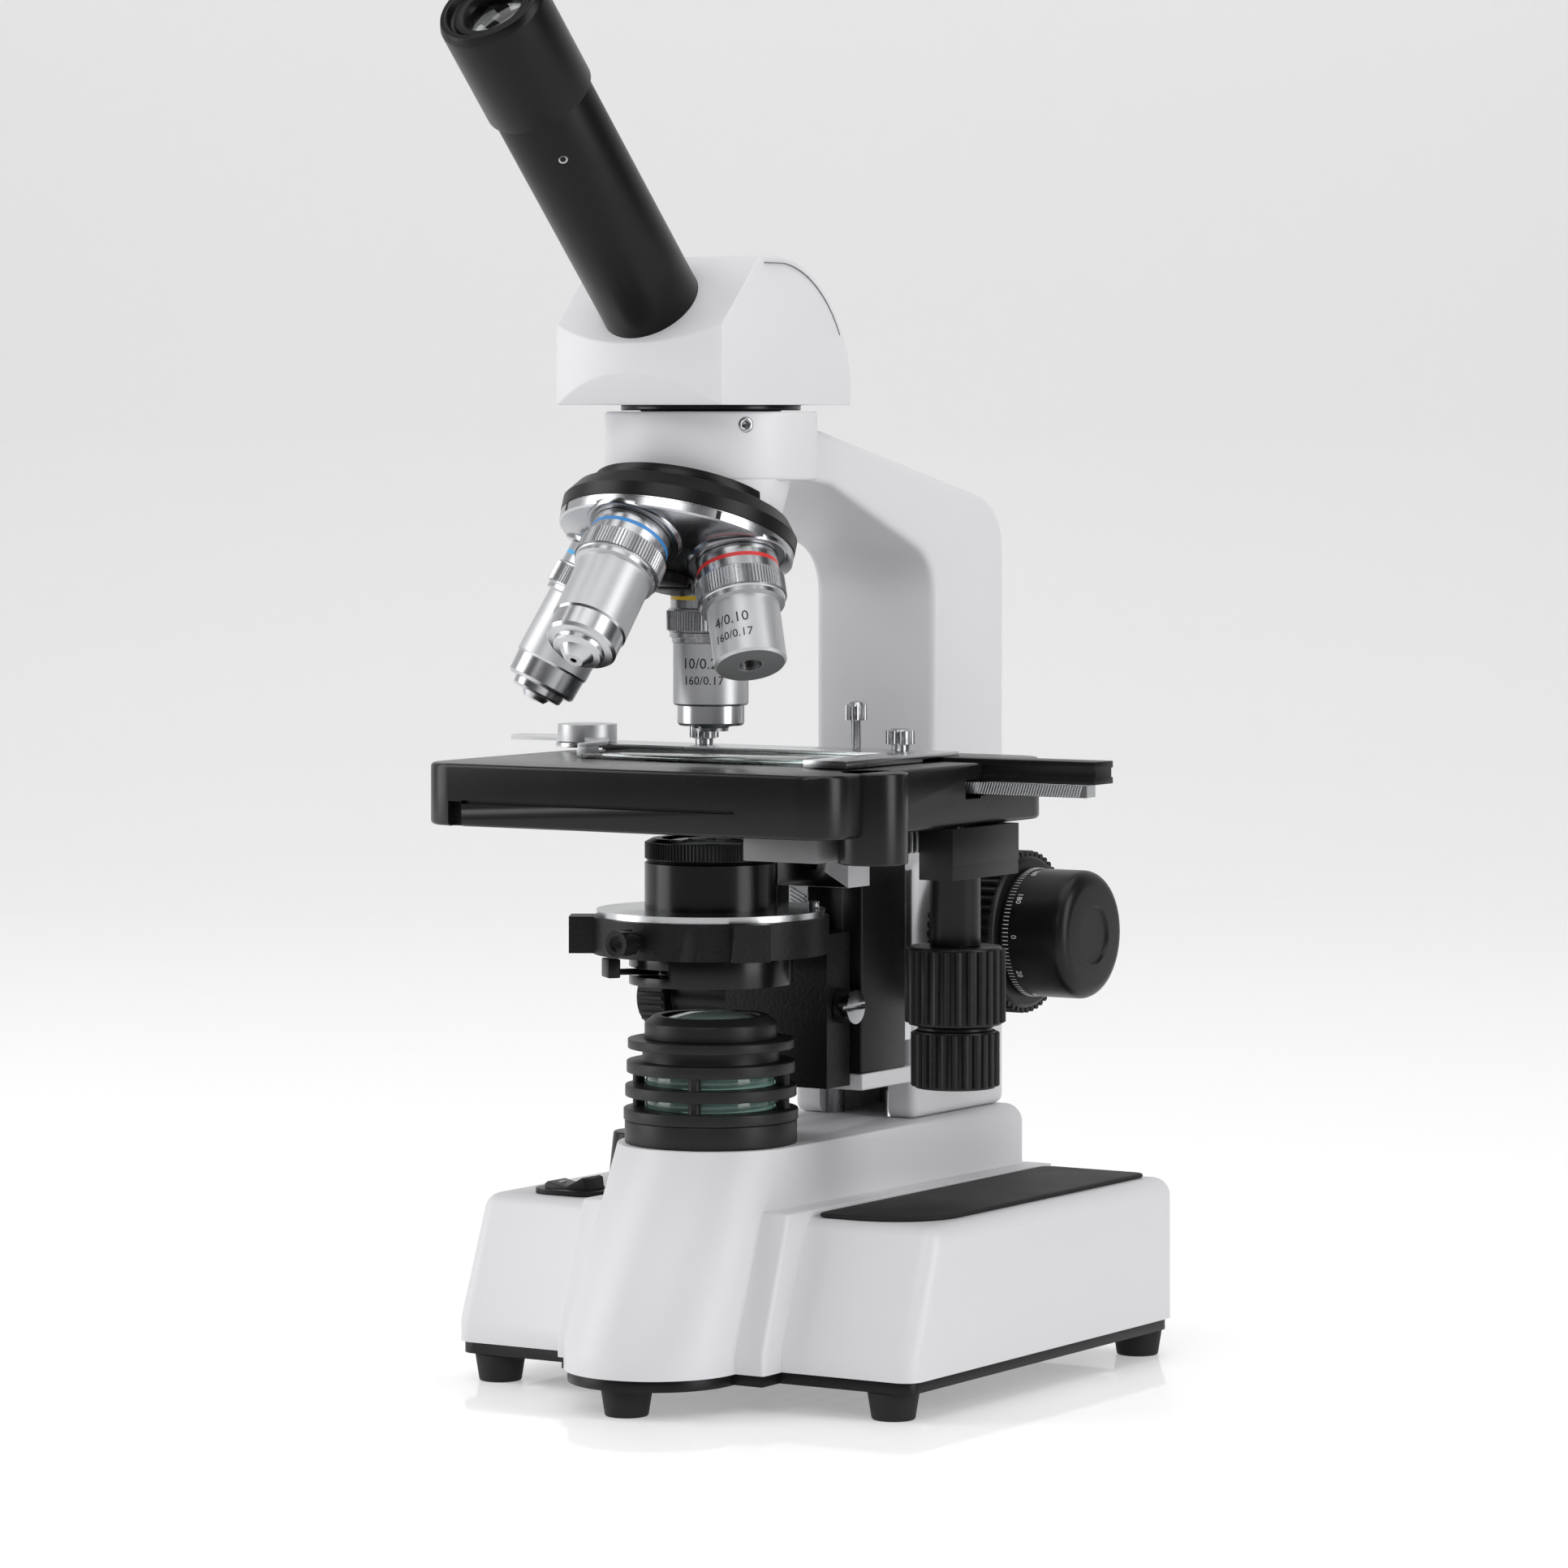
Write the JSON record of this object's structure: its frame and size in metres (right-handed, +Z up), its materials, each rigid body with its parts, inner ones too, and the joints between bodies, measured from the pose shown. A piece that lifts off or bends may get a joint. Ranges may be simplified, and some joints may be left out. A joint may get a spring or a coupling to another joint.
{
  "type": "compound microscope",
  "caption": "Upright monocular compound microscope with a turning nosepiece, a rack-driven mechanical stage, a condenser and a lamp in its base.",
  "frame": {"origin": "on the table under the middle of the microscope's outline; the optical axis stands at x = -12.0 mm, y = -6.3 mm", "axes": "+Z up, +X to the user's right, -Y towards the user, who looks into the eyepiece from -Y"},
  "size_m": [0.1762, 0.2392, 0.3685],
  "materials": {
    "white_paint": "satin",
    "black_paint": "satin",
    "black_plastic": "matte",
    "rubber": "matte",
    "black_anodised": "satin",
    "chrome": "polished",
    "steel": "brushed",
    "satin_alu": "satin",
    "brass": "satin",
    "glass": "clear",
    "filter_glass": "clear",
    "board": "satin",
    "led": "gloss"
  },
  "bodies": {
    "stand": {"base_housing": "white_paint", "base_plate": "black_paint", "rubber_feet": "rubber", "base_screws": "steel", "arm_rest_pad": "rubber", "switch_bezel": "black_plastic", "dimmer_pot": "satin_alu", "power_inlet": "black_plastic", "lamp_collar": "black_anodised", "lens_cage": "black_anodised", "filter_glasses": "filter_glass", "lens_retainer": "black_anodised", "field_lens": "glass", "led_board": "board", "led_emitter": "led", "driver_board": "board", "arm": "white_paint", "arm_bolts": "steel", "focus_guide": "steel", "focus_bushes": "brass", "nosepiece_mount": "black_anodised"},
    "power_switch": {"rocker_switch": "black_plastic"},
    "dimmer": {"dimmer_knob": "black_plastic"},
    "coarse_drive": {"coarse_knobs": "black_plastic", "coarse_shaft": "steel", "focus_pinion": "brass"},
    "fine_drive": {"fine_knobs": "black_plastic", "fine_shaft": "steel"},
    "carriage": {"focus_carriage": "black_paint", "focus_rack": "steel", "carriage_foot": "white_paint", "stage_base_plate": "black_anodised", "stage_bracket": "satin_alu", "stage_y_rack": "steel", "condenser_rack": "steel"},
    "stage": {"stage_plate": "black_anodised", "drive_housing": "black_anodised"},
    "stage_y_drive": {"stage_y_knob": "black_plastic"},
    "stage_x_drive": {"stage_x_knob": "black_plastic"},
    "slide_carrier": {"stage_rail": "black_anodised", "stage_x_rack": "steel", "slide_holder": "chrome", "thumbscrews": "chrome", "glass_slide": "glass"},
    "finger": {"slide_finger": "satin_alu"},
    "condenser": {"condenser_holder": "black_paint", "condenser_body": "black_anodised", "condenser_lens": "glass", "iris_housing": "black_anodised"},
    "iris": {"iris_lever": "black_anodised"},
    "condenser_drive": {"condenser_shaft": "steel", "condenser_knob": "black_plastic"},
    "nosepiece": {"nosepiece_disc": "chrome", "objective_4x": "satin_alu", "objective_10x": "satin_alu", "objective_40x": "satin_alu", "objective_100x": "satin_alu"},
    "head": {"head_housing": "white_paint", "eyepiece_tube": "black_paint"},
    "ocular": {"eyepiece": "black_anodised"}
  },
  "joints": [
    {"name": "focus", "type": "slide", "parent": "stand", "child": "carriage", "axis": [0, 0, 1], "range_m": [-0.0065, 0.001]},
    {"name": "coarse_turn", "type": "hinge", "parent": "stand", "child": "coarse_drive", "pos_m": [-0.012, 0.0882, 0.1165], "axis": [1, 0, 0], "range_deg": [-8.96, 52.73]},
    {"name": "fine_turn", "type": "hinge", "parent": "coarse_drive", "child": "fine_drive", "pos_m": [-0.012, 0.0882, 0.1165], "axis": [1, 0, 0], "continuous": true},
    {"name": "stage_forward", "type": "slide", "parent": "carriage", "child": "stage", "axis": [0, 1, 0], "range_m": [-0.012, 0.016]},
    {"name": "stage_y_turn", "type": "hinge", "parent": "stage", "child": "stage_y_drive", "pos_m": [0.0505, 0.0137, 0.11], "axis": [0, 0, 1], "range_deg": [-144.24, 191.99]},
    {"name": "slide_across", "type": "slide", "parent": "stage", "child": "slide_carrier", "axis": [1, 0, 0], "range_m": [-0.025, 0.025]},
    {"name": "stage_x_turn", "type": "hinge", "parent": "stage", "child": "stage_x_drive", "pos_m": [0.0505, 0.0137, 0.09], "axis": [0, 0, 1], "range_deg": [-299.42, 299.42]},
    {"name": "finger_swing", "type": "hinge", "parent": "slide_carrier", "child": "finger", "pos_m": [-0.065, 0.0147, 0.168], "axis": [0, 0, 1], "range_deg": [-28, 0], "stiffness_Nm_per_rad": 0.02, "springref_deg": 20.05},
    {"name": "condenser_height", "type": "slide", "parent": "carriage", "child": "condenser", "axis": [0, 0, 1], "range_m": [0, 0.0095]},
    {"name": "condenser_turn", "type": "hinge", "parent": "condenser", "child": "condenser_drive", "pos_m": [-0.012, 0.0327, 0.0995], "axis": [1, 0, 0], "range_deg": [-137.08, 1]},
    {"name": "iris_turn", "type": "hinge", "parent": "condenser", "child": "iris", "pos_m": [-0.012, -0.0063, 0.1115], "axis": [0, 0, 1], "range_deg": [-24, 24]},
    {"name": "nosepiece_turn", "type": "hinge", "parent": "stand", "child": "nosepiece", "pos_m": [-0.012, -0.0063, 0.2688], "axis": [0, -0.3502, -0.9367], "continuous": true},
    {"name": "head_turn", "type": "hinge", "parent": "stand", "child": "head", "pos_m": [-0.012, -0.0063, 0.258], "axis": [0, 0, 1], "continuous": true},
    {"name": "eyepiece_slide", "type": "slide", "parent": "head", "child": "ocular", "axis": [0, -0.7071, 0.7071], "range_m": [0, 0.025]},
    {"name": "power_rock", "type": "hinge", "parent": "stand", "child": "power_switch", "pos_m": [-0.06, 0.0017, 0.0473], "axis": [0, 1, 0], "range_deg": [0, 16]},
    {"name": "dimmer_turn", "type": "hinge", "parent": "stand", "child": "dimmer", "pos_m": [-0.058, 0.0317, 0.05], "axis": [0, 0, 1], "range_deg": [0, 270]}
  ],
  "couplings": [
    {"joint": "coarse_turn", "follows": "focus", "rad_per_m": -138.89},
    {"joint": "stage_y_turn", "follows": "stage_forward", "rad_per_m": 208.33},
    {"joint": "stage_x_turn", "follows": "slide_across", "rad_per_m": -208.33},
    {"joint": "condenser_turn", "follows": "condenser_height", "rad_per_m": -250}
  ]
}
